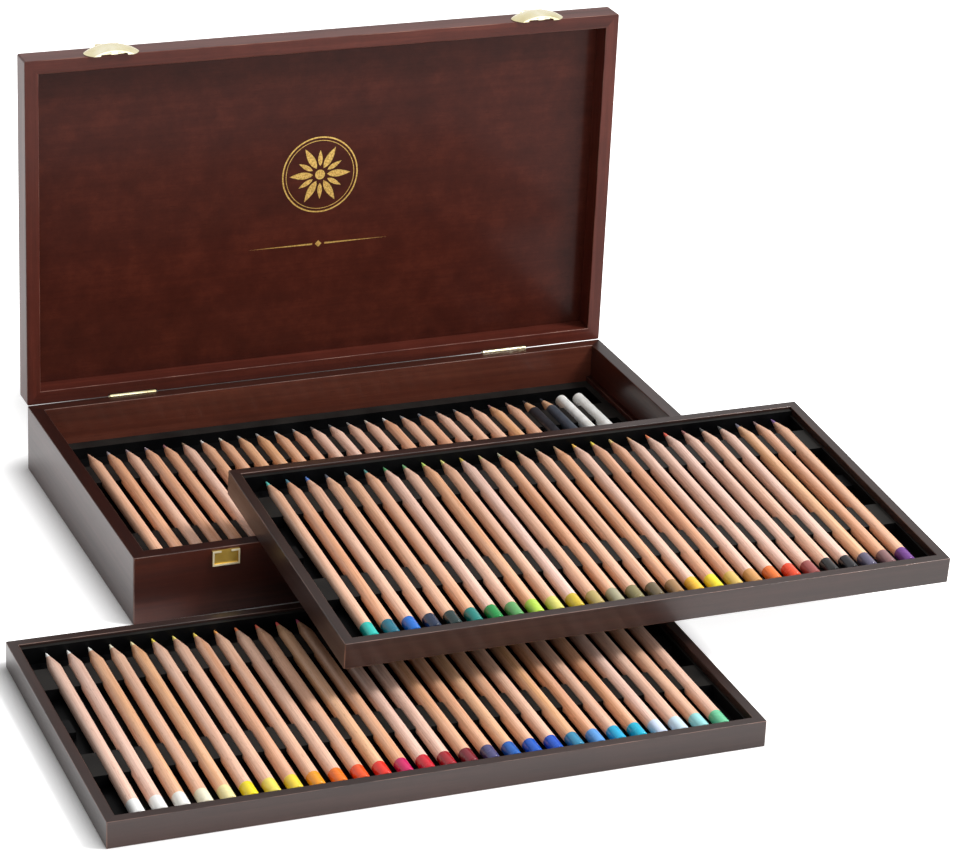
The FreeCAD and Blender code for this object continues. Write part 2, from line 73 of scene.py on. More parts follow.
camera_data = bpy.data.cameras.new("camera")
camera_data.lens = VIEW_LENS
camera_data.sensor_width = 36
camera_data.sensor_fit = "HORIZONTAL"
camera_data.clip_end = 20
camera = bpy.data.objects.new("camera", camera_data)
axes = Matrix((rolled_right, rolled_up, back)).transposed()
camera.matrix_world = Matrix.Translation(VIEW_PLACE) @ axes.to_4x4()
bpy.context.scene.collection.objects.link(camera)
bpy.context.scene.camera = camera
print("camera looks along", [round(v, 3) for v in -back])

# %% [markdown]
# ## A few tools for materials
# A material is a small graph of nodes. Writing `nodes.new` and `links.new` for each one hides the idea, so
# one helper adds a node and fills its inputs, either with a value or with another node's output. Colours
# are written as they look on a screen, from 0 to 255, and turned into the linear numbers that the renderer
# works with.

# %% Node helpers
def put(tree, kind, inputs=None, **options):
    """Add a node, set its options, and fill its inputs with values or other nodes' outputs."""
    node = tree.nodes.new(kind)
    for name, value in options.items():
        setattr(node, name, value)
    for socket, value in (inputs or {}).items():
        if isinstance(value, bpy.types.NodeSocket):
            tree.links.new(value, node.inputs[socket])
        else:
            node.inputs[socket].default_value = value
    return node


def ink(red, green, blue):
    """A colour as seen on a screen, for a socket."""
    parts = [value / 255 for value in (red, green, blue)]
    return [value / 12.92 if value <= 0.04045 else ((value + 0.055) / 1.055) ** 2.4 for value in parts] + [1]


def reckon(tree, operation, *values):
    """One step of arithmetic on values or outputs."""
    return put(tree, "ShaderNodeMath", dict(enumerate(values)), operation=operation).outputs[0]


def tint(tree, amount, first, second, mode="MIX"):
    """Mix two colours."""
    node = put(tree, "ShaderNodeMix", {0: amount, 6: first, 7: second}, data_type="RGBA", blend_type=mode)
    return node.outputs[2]


def stretch(tree, value, low, high, to_low=0.0, to_high=1.0):
    """Bring a range of values to another range."""
    inputs = {"Value": value, "From Min": low, "From Max": high, "To Min": to_low, "To Max": to_high}
    return put(tree, "ShaderNodeMapRange", inputs).outputs[0]


def ramp(tree, value, stops, kind="LINEAR"):
    """Turn a value into a colour by stops of place and colour."""
    node = put(tree, "ShaderNodeValToRGB", {0: value})
    node.color_ramp.interpolation = kind
    elements = node.color_ramp.elements
    while len(elements) < len(stops):
        elements.new(0.5)
    for element, (place, colour) in zip(elements, sorted(stops, key=lambda stop: stop[0])):
        element.position = place
        element.color = colour
    return node.outputs[0]


print("white paper is", [round(value, 2) for value in ink(230, 230, 230)])

# %% [markdown]
# A node group is a part of a graph with named inputs and outputs, built once and used in several materials.
# The shader itself stays in each material, where its gloss settings can be read.

# %% Groups and materials
SOCKETS = {"vector": "NodeSocketVector", "value": "NodeSocketFloat", "colour": "NodeSocketColor"}


def new_group(name, inputs, outputs):
    """An empty group of shader nodes, with its ends."""
    tree = bpy.data.node_groups.new(name, "ShaderNodeTree")
    for label, (kind, value) in inputs.items():
        socket = tree.interface.new_socket(label, in_out="INPUT", socket_type=SOCKETS[kind])
        if value is not None:
            socket.default_value = value
    for label, kind in outputs.items():
        tree.interface.new_socket(label, in_out="OUTPUT", socket_type=SOCKETS[kind])
    return tree, tree.nodes.new("NodeGroupInput").outputs, tree.nodes.new("NodeGroupOutput").inputs


def use_group(tree, group, inputs=None):
    """Place a group in a material."""
    return put(tree, "ShaderNodeGroup", inputs, node_tree=group).outputs


def new_finish(name):
    """A material with one Principled shader."""
    material = bpy.data.materials.new(name)
    material.use_nodes = True
    tree = material.node_tree
    return material, tree, tree.nodes["Principled BSDF"].inputs


def bump(tree, height, distance, strength):
    """A normal from a height in metres."""
    inputs = {"Height": height, "Distance": distance, "Strength": strength}
    return put(tree, "ShaderNodeBump", inputs).outputs[0]


def object_place(tree):
    """Where a point lies on the object, in metres."""
    return put(tree, "ShaderNodeTexCoord").outputs["Object"]


def object_facing(tree):
    """The direction that a point's surface faces."""
    return put(tree, "ShaderNodeTexCoord").outputs["Normal"]


def parts_of(tree, vector):
    """The X, Y and Z of a vector."""
    return put(tree, "ShaderNodeSeparateXYZ", {0: vector}).outputs


def clouds(tree, place, scale, detail):
    """Plain noise, the same in every direction."""
    inputs = {"Vector": place, "Scale": scale, "Detail": detail}
    return put(tree, "ShaderNodeTexNoise", inputs).outputs[0]


def grey(tree, value):
    """A colour with one value in all three channels."""
    return put(tree, "ShaderNodeCombineXYZ", {0: value, 1: value, 2: value}).outputs[0]


print("kinds of group socket", sorted(SOCKETS))

# %% [markdown]
# ## Mahogany
# The walls are mahogany under a clear lacquer. What the eye reads as wood is all stretched along the grain:
# broad bands of tone, fine streaks, and open pores that look like short dark dashes. Each is plain noise on
# coordinates that are squeezed across the grain. The group works with the grain along X, and each material
# turns the object's coordinates to suit the wall that it covers.

# %% Mahogany grain group
BAND_SHARE = 0.55
grain_tree, grain_in, grain_out = new_group(
    "mahogany_grain",
    {"Place": ("vector", None), "Seed": ("value", 0.0)},
    {"Tone": "value", "Pores": "value", "Height": "value"},
)


def stretched_noise(tree, place, scale, seed, detail=4.0, rough=0.55, warp=0.0):
    """Noise on coordinates scaled differently along each axis."""
    mapped = put(tree, "ShaderNodeMapping", {"Vector": place, "Scale": scale}).outputs[0]
    inputs = {
        "Vector": mapped, "W": seed, "Scale": 1.0, "Detail": detail, "Roughness": rough, "Distortion": warp,
    }
    return put(tree, "ShaderNodeTexNoise", inputs, noise_dimensions="4D").outputs[0]


at, seed = grain_in["Place"], grain_in["Seed"]
bands = stretched_noise(grain_tree, at, (2.5, 26, 26), seed, detail=3.0, rough=0.5, warp=0.6)
streaks = stretched_noise(grain_tree, at, (9, 330, 330), seed, detail=5.0, rough=0.62)
dashes = stretched_noise(grain_tree, at, (130, 2600, 2600), seed, detail=2.0, rough=0.5)
pores = stretch(grain_tree, dashes, 0.60, 0.72)
tone = reckon(grain_tree, "ADD", reckon(grain_tree, "MULTIPLY", bands, BAND_SHARE),
              reckon(grain_tree, "MULTIPLY", streaks, 1 - BAND_SHARE))
height = reckon(grain_tree, "SUBTRACT", reckon(grain_tree, "MULTIPLY", streaks, 0.5), pores)
grain_tree.links.new(stretch(grain_tree, tone, 0.32, 0.68), grain_out["Tone"])
grain_tree.links.new(pores, grain_out["Pores"])
grain_tree.links.new(height, grain_out["Height"])
print("grain group nodes", len(grain_tree.nodes))

# %% [markdown]
# Two more effects lie over the grain in every wooden finish. The stain took unevenly, which leaves soft
# clouds in the tone. Along the sharp edges the wood is made lighter in broken patches: partly lacquer
# rubbed thin by handling, partly a painted highlight where the rounded edges catch the light. A surface that
# faces neither straight along X, Y nor Z is such a rounded edge.

# %% Stain, and edge wear with painted highlight groups
stain_tree, stain_in, stain_out = new_group(
    "mottled_stain",
    {"Place": ("vector", None), "Tone": ("value", 0.5), "Share": ("value", 0.15)},
    {"Tone": "value"},
)
cloud = {"Vector": stain_in["Place"], "Scale": 55.0, "Detail": 7.0, "Roughness": 0.72}
blotch = stretch(stain_tree, put(stain_tree, "ShaderNodeTexNoise", cloud).outputs[0], 0.34, 0.66)
shares = {0: stain_in["Share"], 2: stain_in["Tone"], 3: blotch}
tone = put(stain_tree, "ShaderNodeMix", shares, data_type="FLOAT").outputs[0]
stain_tree.links.new(tone, stain_out["Tone"])

wear_and_highlight_tree, wear_in, wear_out = new_group(
    "edge_wear_and_highlight",
    {"Place": ("vector", None), "Facing": ("vector", None), "WearAndHighlight": ("value", 0.6)},
    {"Mask": "value"},
)
# This mask marks the rounded edges, which are made lighter for wear and as a painted highlight.
sizes = [reckon(wear_and_highlight_tree, "ABSOLUTE", part) for part in parts_of(wear_and_highlight_tree, wear_in["Facing"])]
squarest = reckon(wear_and_highlight_tree, "MAXIMUM", sizes[0], reckon(wear_and_highlight_tree, "MAXIMUM", sizes[1], sizes[2]))
edge = stretch(wear_and_highlight_tree, squarest, 0.86, 0.98, 1.0, 0.0)
handling = clouds(wear_and_highlight_tree, wear_in["Place"], 38.0, 4.0)
handled = stretch(wear_and_highlight_tree, handling, 0.42, 0.62, 0.0, wear_in["WearAndHighlight"])
wear_and_highlight_tree.links.new(reckon(wear_and_highlight_tree, "MULTIPLY", edge, handled), wear_out["Mask"])
print("stain nodes", len(stain_tree.nodes), "edge wear nodes", len(wear_and_highlight_tree.nodes))

# %% [markdown]
# Every finish of the case is the same recipe with other numbers: how dark the wood is, which way the grain
# runs, how thick and how smooth the lacquer is, how cloudy the stain, and how much painted shade darkens the
# wood where it faces up. A function makes them, so the recipe is written once.

# %% Lacquered wood finishes
GRAIN_TURN = {"X": (0, 0, 0), "Y": (0, 0, math.radians(90)), "Z": (0, math.radians(90), 0)}
# The edge colour and its share stand for lacquer worn thin and for a painted highlight on rounded edges.
EDGE_WEAR_AND_HIGHLIGHT = 0.6
WORN_EDGE_AND_HIGHLIGHT = (150, 112, 98)
PORE_SHADE = 0.45
PORE_DARK = 0.4
GRAIN_DEPTH = 0.02 * MM


def lacquered(name, way, colours, seed, gloss, coat, rough, painted_top_shade=1.0, mottled=0.15):
    """Mahogany under lacquer with the grain along X, Y or Z, with painted shade where it faces up, and
    lighter edges that are part wear, part painted highlight.
    """
    material, tree, shader = new_finish(name)
    dark, middle, light = colours
    place, facing = object_place(tree), object_facing(tree)
    turned = put(tree, "ShaderNodeMapping", {"Vector": place, "Rotation": GRAIN_TURN[way]}).outputs[0]
    grain = use_group(tree, grain_tree, {"Place": turned, "Seed": seed})
    stained = use_group(tree, stain_tree, {"Place": place, "Tone": grain["Tone"], "Share": mottled})
    wood = ramp(tree, stained["Tone"], [(0.0, ink(*dark)), (0.5, ink(*middle)), (1.0, ink(*light))])
    shade = reckon(tree, "MULTIPLY", grain["Pores"], PORE_SHADE)
    wood = tint(tree, shade, wood, ink(*[value * PORE_DARK for value in dark]))
    # Rounded edges made lighter: lacquer worn thin together with a painted highlight.
    worn = use_group(tree, wear_and_highlight_tree, {"Place": place, "Facing": facing, "WearAndHighlight": EDGE_WEAR_AND_HIGHLIGHT})
    wood = tint(tree, worn["Mask"], wood, ink(*WORN_EDGE_AND_HIGHLIGHT))
    # Painted shade: where the surface faces up, the colour is multiplied darker by the given factor.
    upward = parts_of(tree, facing)["Z"]
    darker = grey(tree, stretch(tree, upward, 0.5, 0.9, 1.0, painted_top_shade))
    wood = tint(tree, 1.0, wood, darker, "MULTIPLY")
    tree.links.new(wood, shader["Base Color"])
    tree.links.new(stretch(tree, grain["Tone"], 0, 1, rough + 0.06, rough - 0.03), shader["Roughness"])
    tree.links.new(bump(tree, grain["Height"], GRAIN_DEPTH, 0.35), shader["Normal"])
    tree.links.new(stretch(tree, upward, 0.6, 0.95, coat, 0.0), shader["Coat Weight"])
    shader["Specular IOR Level"].default_value = gloss
    shader["Coat Roughness"].default_value = 0.12
    shader["Coat IOR"].default_value = 1.5
    return material


BASE_WOOD = ((36, 13, 8), (58, 23, 15), (84, 37, 24))
# The base's back wall is the same mahogany as the other walls, in lighter colours as painted light on the
# wall that faces the front.
BACK_WOOD_PAINTED_LIGHT = ((52, 23, 16), (79, 38, 27), (104, 55, 40))
LID_WOOD = ((52, 19, 13), (80, 34, 25), (108, 52, 40))
TRAY_WOOD = ((31, 17, 13), (45, 26, 21), (63, 39, 33))
PANEL_WOOD = ((48, 18, 12), (64, 26, 18), (82, 36, 25))
finishes = {
    # The back wall takes the lighter copy of the case wood, with painted light.
    "back": lacquered(
        "back_wall_wood_painted_light", "X", BACK_WOOD_PAINTED_LIGHT, seed=19.0, gloss=0.3, coat=0.15, rough=0.34, painted_top_shade=0.5,
    ),
    "panel": lacquered(
        "panel_lacquer", "X", PANEL_WOOD, seed=27.0, gloss=0.1, coat=0.06, rough=0.3, mottled=0.5,
    ),
}
for way in "XY":
    finishes["case_" + way] = lacquered(
        "case_wood_" + way, way, BASE_WOOD, seed=3.0, gloss=0.4, coat=0.15, rough=0.32, painted_top_shade=0.4,
    )
    finishes["tray_" + way] = lacquered(
        "tray_wood_" + way, way, TRAY_WOOD, seed=11.0, gloss=0.42, coat=0.26, rough=0.34, painted_top_shade=0.8,
    )
for way in "XZ":
    finishes["lid_" + way] = lacquered(
        "lid_wood_" + way, way, LID_WOOD, seed=7.0, gloss=0.2, coat=0.06, rough=0.34,
    )
print("wood finishes", sorted(finishes))

# %% [markdown]
# Each wall takes the finish whose grain runs along its length. The lid stands upright, so the grain of its
# two side walls runs along Z.

# %% Dress the wood
WALL_FINISH = {
    "base_front_wall": "case_X", "base_back_wall": "back", "base_bottom_board": "case_X",
    "base_left_wall": "case_Y", "base_right_wall": "case_Y",
    "base_left_ledge": "case_Y", "base_right_ledge": "case_Y",
    "lid_hinge_wall": "lid_X", "lid_latch_wall": "lid_X",
    "lid_left_wall": "lid_Z", "lid_right_wall": "lid_Z", "lid_panel": "panel",
}
for tray in ("front_tray_", "middle_tray_"):
    for wall, way in (("front", "X"), ("back", "X"), ("left", "Y"), ("right", "Y")):
        WALL_FINISH[tray + wall + "_wall"] = "tray_" + way
    WALL_FINISH[tray + "bottom_board"] = "tray_X"


def dress(node, material):
    """Give every slot of a CAD node one material."""
    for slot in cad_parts[node].material_slots:
        slot.material = material


for node, finish in WALL_FINISH.items():
    dress(node, finishes[finish])
print("wooden pieces dressed", len(WALL_FINISH))

# %% [markdown]
# ## Formed plastic inserts
# The inserts that the pencils lie in are thin black sheet, formed under vacuum. Such sheet isn't mirror
# smooth: it has a fine grain that breaks the light up. Its tops are lighter, partly from rubbing and dust and
# partly as a painted sheen, while the wells and steep walls are darker as painted shade. How high a point
# lies is the dot product of its place with the case's own upward direction, so the same recipe serves the
# tray that lies at a slant. For each case the list below holds that direction, a point of the case's floor,
# and how far above it the sheet's wells and its rib tops lie.

# %% Insert plastic
sheet_tree, sheet_in, sheet_out = new_group(
    "formed_sheet",
    {"Place": ("vector", None), "Facing": ("vector", None), "Upward": ("vector", None),
     "From": ("value", 0.0), "To": ("value", 0.01)},
    {"Pebble": "value", "Dust": "value", "DustAndPaintedLight": "value"},
)
rise = {0: sheet_in["Place"], 1: sheet_in["Upward"]}
level = put(sheet_tree, "ShaderNodeVectorMath", rise, operation="DOT_PRODUCT").outputs["Value"]
# Painted light: the sheet is lighter high up and on faces that look up, darker low down and on steep faces.
painted_height_light = stretch(sheet_tree, level, sheet_in["From"], sheet_in["To"])
painted_facing_light = stretch(sheet_tree, parts_of(sheet_tree, sheet_in["Facing"])["Z"], 0.5, 0.9)
sheet_tree.links.new(clouds(sheet_tree, sheet_in["Place"], 1400.0, 2.0), sheet_out["Pebble"])
sheet_tree.links.new(clouds(sheet_tree, sheet_in["Place"], 60.0, 4.0), sheet_out["Dust"])
sheet_tree.links.new(reckon(sheet_tree, "MULTIPLY", painted_height_light, painted_facing_light), sheet_out["DustAndPaintedLight"])

FRONT_FACE = -110.75
MIDDLE_PITCH = math.radians(3.41)
MIDDLE_REST = Vector((0, FRONT_FACE, 42.12))
MIDDLE_UP = Vector((0, -math.sin(MIDDLE_PITCH), math.cos(MIDDLE_PITCH)))
UPRIGHT = Vector((0, 0, 1))
TABLE = Vector((0, 0, 0))
INSERT_LEVELS = {
    "base_insert": (UPRIGHT, TABLE, 10.0, 17.2),
    "front_tray_insert": (UPRIGHT, TABLE, 4.0, 11.2),
    "middle_tray_insert": (MIDDLE_UP, MIDDLE_REST, 4.0, 11.2),
}
DUST_AND_LIGHT_FROM = 0.55
DUST_AND_LIGHT_SLACK = 0.1
PEBBLE_DEPTH = 0.04 * MM


def insert_plastic(name, upward, low, high):
    """Black formed sheet, lighter towards the level of its rib tops from dust and painted sheen, darker below
    as painted shade; levels in millimetres.
    """
    material, tree, shader = new_finish(name)
    starts = low + DUST_AND_LIGHT_FROM * (high - low)
    sheet = use_group(tree, sheet_tree, {
        "Place": object_place(tree), "Facing": object_facing(tree), "Upward": upward,
        "From": starts * MM, "To": (high - DUST_AND_LIGHT_SLACK) * MM,
    })
    # The dark wells are painted shade; the lighter colour near the rib tops is dust and painted sheen.
    dark = ramp(tree, sheet["Dust"], [(0.3, ink(4, 4, 5)), (0.7, ink(9, 9, 10))])
    pale = ramp(tree, sheet["Dust"], [(0.3, ink(22, 21, 20)), (0.7, ink(35, 33, 31))])
    tree.links.new(tint(tree, sheet["DustAndPaintedLight"], dark, pale), shader["Base Color"])
    tree.links.new(stretch(tree, sheet["Dust"], 0.3, 0.7, 0.4, 0.55), shader["Roughness"])
    tree.links.new(bump(tree, sheet["Pebble"], PEBBLE_DEPTH, 0.6), shader["Normal"])
    shader["Specular IOR Level"].default_value = 0.1
    return material


for node, (upward, floor_at, low, high) in INSERT_LEVELS.items():
    base_level = floor_at.dot(upward)
    dress(node, insert_plastic(node + "_plastic", upward, base_level + low, base_level + high))
print("inserts dressed", list(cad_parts["middle_tray_insert"].matrix_world.translation))

# %% [markdown]
# ## Brass
# Hinges, latches and catches are stamped brass, polished and lightly lacquered. Polished metal is all
# reflection, so most of its look comes from the roughness: fine rubbing marks, and slow patches that are
# duller. The catch plates have a raised border that clothes and fingers polish, round a sunk field that
# stays darker. How far a point stands proud of the front wall tells the two apart.

# %% Brass
FIELD_EDGE = 1.2
RUB_DEPTH = 0.003 * MM

polish_tree, polish_in, polish_out = new_group(
    "polish_marks", {"Place": ("vector", None)}, {"Rubbing": "value", "Dull": "value"},
)
rubbing = stretched_noise(polish_tree, polish_in["Place"], (160, 1500, 1500), 1.0, detail=2.0)
polish_tree.links.new(rubbing, polish_out["Rubbing"])
polish_tree.links.new(clouds(polish_tree, polish_in["Place"], 70.0, 2.0), polish_out["Dull"])


def stamped_brass(name, sunk_field):
    """Polished brass, with a bright border round a darker sunk field where it is wanted."""
    material, tree, shader = new_finish(name)
    place = object_place(tree)
    marks = use_group(tree, polish_tree, {"Place": place})
    colour = ramp(tree, marks["Dull"], [
        (0.3, ink(212, 198, 150)), (0.55, ink(234, 224, 186)), (0.8, ink(248, 243, 222)),
    ])
    shader["Metallic"].default_value = 1.0
    if sunk_field:
        edge = FRONT_FACE - FIELD_EDGE
        sunk = stretch(tree, parts_of(tree, place)["Y"], (edge - 0.1) * MM, (edge + 0.1) * MM)
        field = ramp(tree, marks["Dull"], [(0.3, ink(176, 138, 50)), (0.7, ink(226, 194, 96))])
        colour = tint(tree, sunk, colour, field)
        tree.links.new(stretch(tree, sunk, 0, 1, 0.2, 0.55), shader["Metallic"])
    tree.links.new(colour, shader["Base Color"])
    both = reckon(tree, "ADD", marks["Rubbing"], marks["Dull"])
    tree.links.new(stretch(tree, both, 0.6, 1.4, 0.12, 0.26), shader["Roughness"])
    tree.links.new(bump(tree, marks["Rubbing"], RUB_DEPTH, 0.08), shader["Normal"])
    return material


plain_brass = stamped_brass("brass", False)
catch_brass = stamped_brass("catch_brass", True)
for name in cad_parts:
    if any(word in name for word in ("hinge_base_leaf", "hinge_lid_leaf", "hinge_pin", "latch_flap",
                                     "latch_plate", "latch_pin", "screws")):
        dress(name, plain_brass)
    if "catch_plate" in name:
        dress(name, catch_brass)
print("brass dressed")

# %% [markdown]
# ## Gold ornament
# The middle of the lid carries a small ornament stamped in gold foil. Here it is a plain rosette in two
# rings over a tapered rule, drawn as thin raised foil so that it catches the light like real stamping. Each
# petal is one outline turned about the centre, given by its length, its half width and how far out it
# starts, and the rings are thin closed bands between two circles. Foil has almost no thickness, but a
# raised edge of six hundredths of a millimetre keeps it clear of the wood behind.

# %% Foil shapes
FOIL_PLANE = 124.25
FOIL_RISE = 0.06
ROSETTE = Vector((0.0, 170.0))
RINGS = ((25.0, 24.1), (22.6, 22.2))
HUB_RADIUS = 3.2
PETALS = 12
PETAL_STEPS = 8
LONG_PETAL = (15.5, 2.3, 4.6)
SHORT_PETAL = (10.5, 1.5, 5.6)
RULE_HEIGHT = 124.0
RULE_GAP = 4.0
RULE_HALF = 46.0
RULE_THICK = 0.55
DIAMOND = 2.2


def foil(shape, *outlines):
    """Add foil inside one outline of X and Z in millimetres, or a band between two with as many points."""
    size = len(outlines[0])
    rings = [
        [[shape.verts.new((x * MM, depth * MM, z * MM)) for x, z in outline]
         for depth in (FOIL_PLANE, FOIL_PLANE - FOIL_RISE)]
        for outline in outlines
    ]
    for low, high in rings:
        for place in range(size):
            after = (place + 1) % size
            shape.faces.new((low[place], low[after], high[after], high[place]))
    for layer in (0, 1):
        if len(rings) == 1:
            shape.faces.new(rings[0][layer])
            continue
        outer, inner = rings[0][layer], rings[1][layer]
        for place in range(size):
            after = (place + 1) % size
            shape.faces.new((outer[place], outer[after], inner[after], inner[place]))


def circle(radius, count=96):
    """Points round the rosette's centre."""
    return [ROSETTE + Vector((radius * math.cos(a), radius * math.sin(a)))
            for a in (2 * math.pi * n / count for n in range(count))]


ornament_mesh = bpy.data.meshes.new("gold_ornament")
shape = bmesh.new()
for outer, inner in RINGS:
    foil(shape, circle(outer), circle(inner))
foil(shape, circle(HUB_RADIUS, 48))
for petal in range(PETALS):
    turn = 2 * math.pi * petal / PETALS
    along = Vector((math.cos(turn), math.sin(turn)))
    across = Vector((-along.y, along.x))
    length, width, start = SHORT_PETAL if petal % 2 else LONG_PETAL
    out = [(step / PETAL_STEPS, 1) for step in range(PETAL_STEPS + 1)]
    home = [(1 - step / PETAL_STEPS, -1) for step in range(1, PETAL_STEPS)]
    outline = []
    for part, side in out + home:
        swell = math.sin(math.pi * part ** 0.8) * width * side
        outline.append(ROSETTE + along * (start + length * part) + across * swell)
    foil(shape, outline)
for half in (-1, 1):
    foil(shape, [(half * RULE_GAP, RULE_HEIGHT + RULE_THICK), (half * RULE_HALF, RULE_HEIGHT),
                 (half * RULE_GAP, RULE_HEIGHT - RULE_THICK)])
foil(shape, [(0, RULE_HEIGHT + DIAMOND), (DIAMOND, RULE_HEIGHT), (0, RULE_HEIGHT - DIAMOND),
             (-DIAMOND, RULE_HEIGHT)])
bmesh.ops.recalc_face_normals(shape, faces=shape.faces)
shape.to_mesh(ornament_mesh)
shape.free()

gold_foil, tree, shader = new_finish("gold_foil")
worn = clouds(tree, object_place(tree), 900.0, 3.0)
tree.links.new(ramp(tree, worn, [(0.35, ink(176, 140, 70)), (0.6, ink(222, 190, 110))]), shader["Base Color"])
tree.links.new(stretch(tree, worn, 0.3, 0.7, 0.5, 0.32), shader["Roughness"])
tree.links.new(stretch(tree, worn, 0.3, 0.42, 0.4, 0.85), shader["Metallic"])
ornament_mesh.materials.append(gold_foil)
ornament = bpy.data.objects.new("lid_gold_ornament", ornament_mesh)
bpy.context.scene.collection.objects.link(ornament)
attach(ornament, "lid")
print("ornament faces", len(ornament_mesh.polygons))

# %% [markdown]
# ## One pencil
# A sharpened pencil is a shape turned about its length, so each of its parts is a profile of radius and
# place that we spin into a lathed mesh: the cedar barrel with its cone, the coloured core with its point,
# and the cap of lacquer that the butt was dipped in. The two graphite pencils have no cap, and the blending
# sticks are plain wax with softened ends. The butt lies at the origin and the point along +Y.

# %% Lathe
PENCIL_LENGTH = 184.35
PENCIL_RADIUS = 3.9
CONE_START = PENCIL_LENGTH - 19.0
CORE_RADIUS = 1.5
WOOD_END = PENCIL_LENGTH - 6.5
CAP_LENGTH = 12.4
STICK_LENGTH = PENCIL_LENGTH - 6.0
SIDES = 44


def lathe(name, profile):
    """A closed shape from points of radius and place along Y, in millimetres."""
    mesh = bpy.data.meshes.new(name)
    shape = bmesh.new()
    rings = []
    for radius, along in profile:
        if radius == 0:
            rings.append([shape.verts.new((0, along * MM, 0))])
            continue
        turn = [2 * math.pi * side / SIDES for side in range(SIDES)]
        rings.append([
            shape.verts.new((radius * MM * math.cos(a), along * MM, radius * MM * math.sin(a))) for a in turn
        ])
    for low, high in zip(rings, rings[1:]):
        for side in range(SIDES):
            after = (side + 1) % SIDES
            corners = [low[side % len(low)], high[side % len(high)]]
            if len(high) > 1:
                corners.append(high[after])
            if len(low) > 1:
                corners.append(low[after])
            shape.faces.new(corners)
    bmesh.ops.recalc_face_normals(shape, faces=shape.faces)
    for face in shape.faces:
        face.smooth = True
    shape.to_mesh(mesh)
    shape.free()
    mesh.set_sharp_from_angle(angle=math.radians(32))
    return mesh


templates = {
    "barrel": lathe("cedar_barrel", [
        (CORE_RADIUS, CAP_LENGTH), (PENCIL_RADIUS - 0.05, CAP_LENGTH), (PENCIL_RADIUS, CAP_LENGTH + 0.4),
        (PENCIL_RADIUS, 80), (PENCIL_RADIUS, CONE_START - 0.6), (PENCIL_RADIUS - 0.06, CONE_START + 0.1),
        (PENCIL_RADIUS - 0.22, CONE_START + 1.0), (2.7, CONE_START + 6.3), (1.58, WOOD_END - 0.2),
        (CORE_RADIUS, WOOD_END + 0.1), (CORE_RADIUS, CAP_LENGTH),
    ]),
    "lead": lathe("coloured_core", [
        (0, CONE_START), (CORE_RADIUS - 0.02, CONE_START), (CORE_RADIUS, WOOD_END), (1.34, WOOD_END + 0.5),
        (0.9, PENCIL_LENGTH - 3.0), (0.45, PENCIL_LENGTH - 0.8), (0.3, PENCIL_LENGTH - 0.2),
        (0.16, PENCIL_LENGTH), (0, PENCIL_LENGTH),
    ]),
    "cap": lathe("dipped_cap", [
        (0, 0), (2.6, 0), (3.3, 0.1), (3.65, 0.3), (3.82, 0.6), (PENCIL_RADIUS, 1.1),
        (PENCIL_RADIUS, CAP_LENGTH - 1.1), (PENCIL_RADIUS + 0.02, CAP_LENGTH - 0.3),
        (PENCIL_RADIUS - 0.02, CAP_LENGTH), (3.7, CAP_LENGTH), (0, CAP_LENGTH),
    ]),
    "graphite_barrel": lathe("graphite_barrel", [
        (0, 0), (CORE_RADIUS, 0), (3.4, 0), (3.75, 0.15), (PENCIL_RADIUS, 0.5), (PENCIL_RADIUS, 80),
        (PENCIL_RADIUS, CONE_START), (PENCIL_RADIUS - 0.18, CONE_START + 0.5), (2.7, CONE_START + 6.3),
        (1.58, WOOD_END - 0.2), (CORE_RADIUS, WOOD_END + 0.1), (0, WOOD_END + 0.1),
    ]),
    "stick": lathe("wax_stick", [
        (0, 0), (3.3, 0), (3.65, 0.12), (3.85, 0.4), (PENCIL_RADIUS, 0.8), (PENCIL_RADIUS, 60),
        (PENCIL_RADIUS, 120), (PENCIL_RADIUS, STICK_LENGTH - 0.8), (3.85, STICK_LENGTH - 0.4),
        (3.65, STICK_LENGTH - 0.12), (3.3, STICK_LENGTH), (0, STICK_LENGTH),
    ]),
}
print("turned shapes", {name: len(mesh.polygons) for name, mesh in templates.items()})

# %% [markdown]
# ## A row of pencils
# The pencils repeat, so Geometry Nodes lay them out: a line of points one pitch apart, one turned shape on
# each point, each rolled by its own angle as it would lie in its notch. Before the shapes are copied, each
# point stores where it lies on its own pencil, and each copy stores its number, so a material can give
# every pencil its own wood and colour. The whole row is then turned and moved to its place. The export
# drops instances, so the tree ends by making them real.

# %% The row tree
PITCH = 12.1 * MM
ROW_INPUTS = {
    "Geometry": "Geometry", "Count": "Int", "Start": "Int", "Pitch": "Float", "First": "Vector",
    "Place": "Vector", "Turn": "Rotation", "Seed": "Int", "Finish": "Material",
}
row_tree = bpy.data.node_groups.new("pencil_row", "GeometryNodeTree")
for label, kind in ROW_INPUTS.items():
    row_tree.interface.new_socket(label, in_out="INPUT", socket_type="NodeSocket" + kind)
row_tree.interface.new_socket("Geometry", in_out="OUTPUT", socket_type="NodeSocketGeometry")
given = row_tree.nodes.new("NodeGroupInput").outputs
own_place = put(row_tree, "GeometryNodeInputPosition").outputs[0]
marked = put(
    row_tree, "GeometryNodeStoreNamedAttribute",
    {"Geometry": given["Geometry"], "Name": "pencil_place", "Value": own_place},
    data_type="FLOAT_VECTOR", domain="POINT",
)
number = put(row_tree, "GeometryNodeInputIndex").outputs[0]
counted = put(row_tree, "ShaderNodeMath", {0: number, 1: given["Start"]}, operation="ADD").outputs[0]
step = put(row_tree, "ShaderNodeCombineXYZ", {"X": given["Pitch"]}).outputs[0]
offset = put(
    row_tree, "ShaderNodeVectorMath", {0: step, "Scale": given["Start"]}, operation="SCALE",
).outputs[0]
start = put(row_tree, "ShaderNodeVectorMath", {0: given["First"], 1: offset}, operation="ADD").outputs[0]
line = put(
    row_tree, "GeometryNodeMeshLine", {"Count": given["Count"], "Start Location": start, "Offset": step},
    mode="OFFSET",
)
